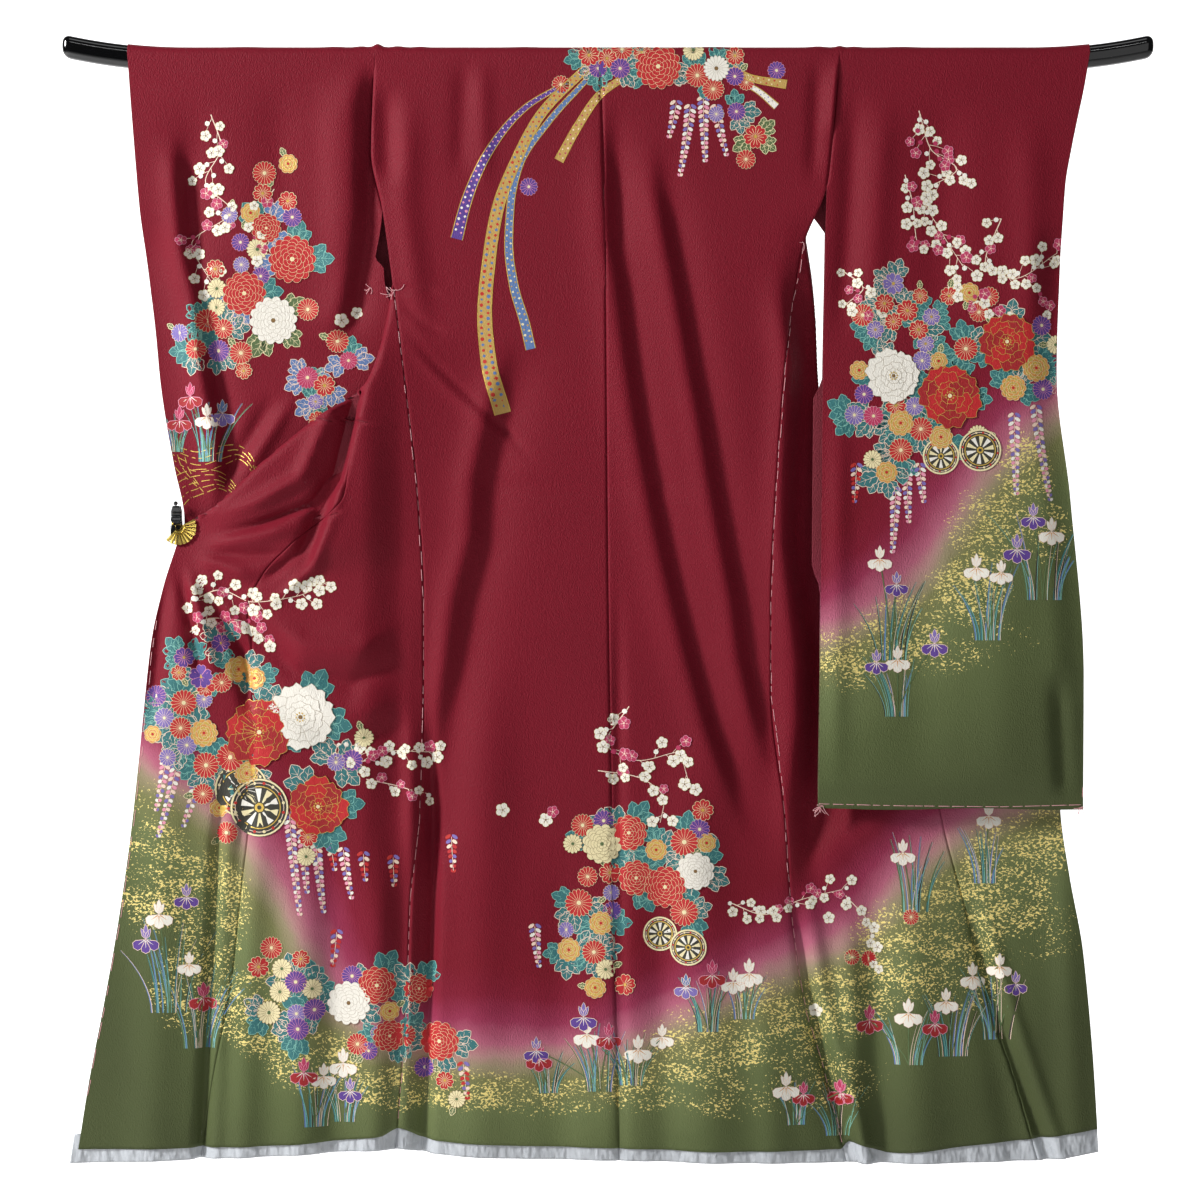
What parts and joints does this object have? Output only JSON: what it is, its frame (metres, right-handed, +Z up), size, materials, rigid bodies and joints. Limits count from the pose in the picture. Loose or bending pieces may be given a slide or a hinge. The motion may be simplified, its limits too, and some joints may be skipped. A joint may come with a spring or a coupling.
{
  "type": "furisode kimono hung on a lacquered kimono rod",
  "caption": "Long-sleeved silk kimono hung open by its sleeves on a straight rod and seen from the back, one front opened out and held to the sleeve with a small fan clip.",
  "frame": {"origin": "middle of the rod's axis, above the centre back seam, where a stand would carry the rod", "axes": "+Z up, +X along the rod to the right of someone who looks at the garment's back, -Y out of the garment's back"},
  "size_m": [1.5598, 0.0831, 1.6131],
  "materials": {
    "silk_crepe": "crimson silk crepe with a fine pebbled grain and a soft sheen, dyed to pink and olive green near the hems, with painted flowers",
    "white_satin": "smooth white satin facing that shows below the hem",
    "black_lacquer": "wood with mirror-smooth black lacquer",
    "gold_metal": "polished gold-coloured metal",
    "black_metal": "gloss black painted spring steel"
  },
  "bodies": {
    "root": {"body_left": "silk_crepe", "body_right": "silk_crepe", "okumi_left": "silk_crepe", "okumi_right": "silk_crepe", "sleeve_left": "silk_crepe", "sleeve_right": "silk_crepe", "collar": "silk_crepe", "facing_okumi_left": "white_satin", "facing_front_left": "white_satin", "facing_back_left": "white_satin", "facing_back_right": "white_satin", "facing_front_right": "white_satin", "facing_okumi_right": "white_satin", "rod": "black_lacquer", "clip_fan": "gold_metal", "clip_ball_gold": "gold_metal", "clip_jaw_front": "black_metal", "clip_jaw_back": "black_metal", "clip_pin": "black_metal", "clip_ball_black": "black_metal"}
  },
  "joints": []
}
